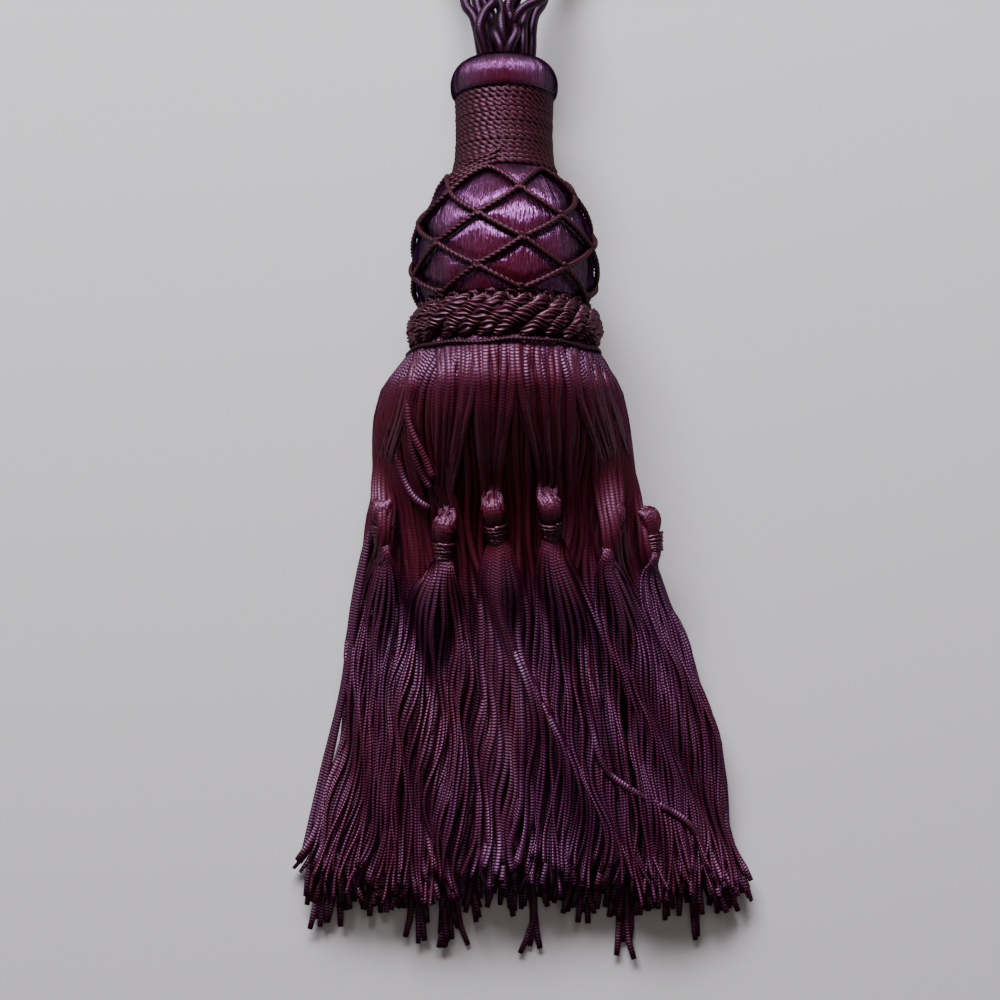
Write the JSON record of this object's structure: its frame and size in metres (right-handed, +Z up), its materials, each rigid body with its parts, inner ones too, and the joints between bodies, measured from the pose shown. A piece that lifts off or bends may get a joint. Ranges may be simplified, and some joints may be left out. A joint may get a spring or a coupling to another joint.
{
  "type": "curtain tieback tassel",
  "caption": "Curtain tieback: a tassel with a netted floss head, plaited collar, small tassels over a skirt of cut yarn, and a rope loop, lying at rest.",
  "frame": {"origin": "on the surface that the tassel lies on, under the middle of the skirt where its small tassels hang", "axes": "+Y along the tassel towards its head and rope, +X across it, +Z up from the surface"},
  "size_m": [0.1527, 0.4978, 0.0587],
  "materials": {
    "rope": "wrapped rayon cord, plum, satin gloss",
    "satin_floss": "laid rayon floss, plum, high satin gloss along the fibres",
    "twisted_cord": "twisted two-ply rayon cord, dark plum, soft gloss",
    "skirt_yarn": "looped chainette rayon yarn, dark plum with a violet sheen"
  },
  "bodies": {
    "root": {"rope_loop": "rope", "cap": "satin_floss", "neck_winding": "twisted_cord", "bulb": "satin_floss", "net": "twisted_cord", "collar": "twisted_cord", "edge_cord": "twisted_cord", "skirt": "skirt_yarn", "small_tassel_1": "skirt_yarn", "small_tassel_2": "skirt_yarn", "small_tassel_3": "skirt_yarn", "small_tassel_4": "skirt_yarn", "small_tassel_5": "skirt_yarn", "small_tassel_6": "skirt_yarn"}
  },
  "joints": []
}
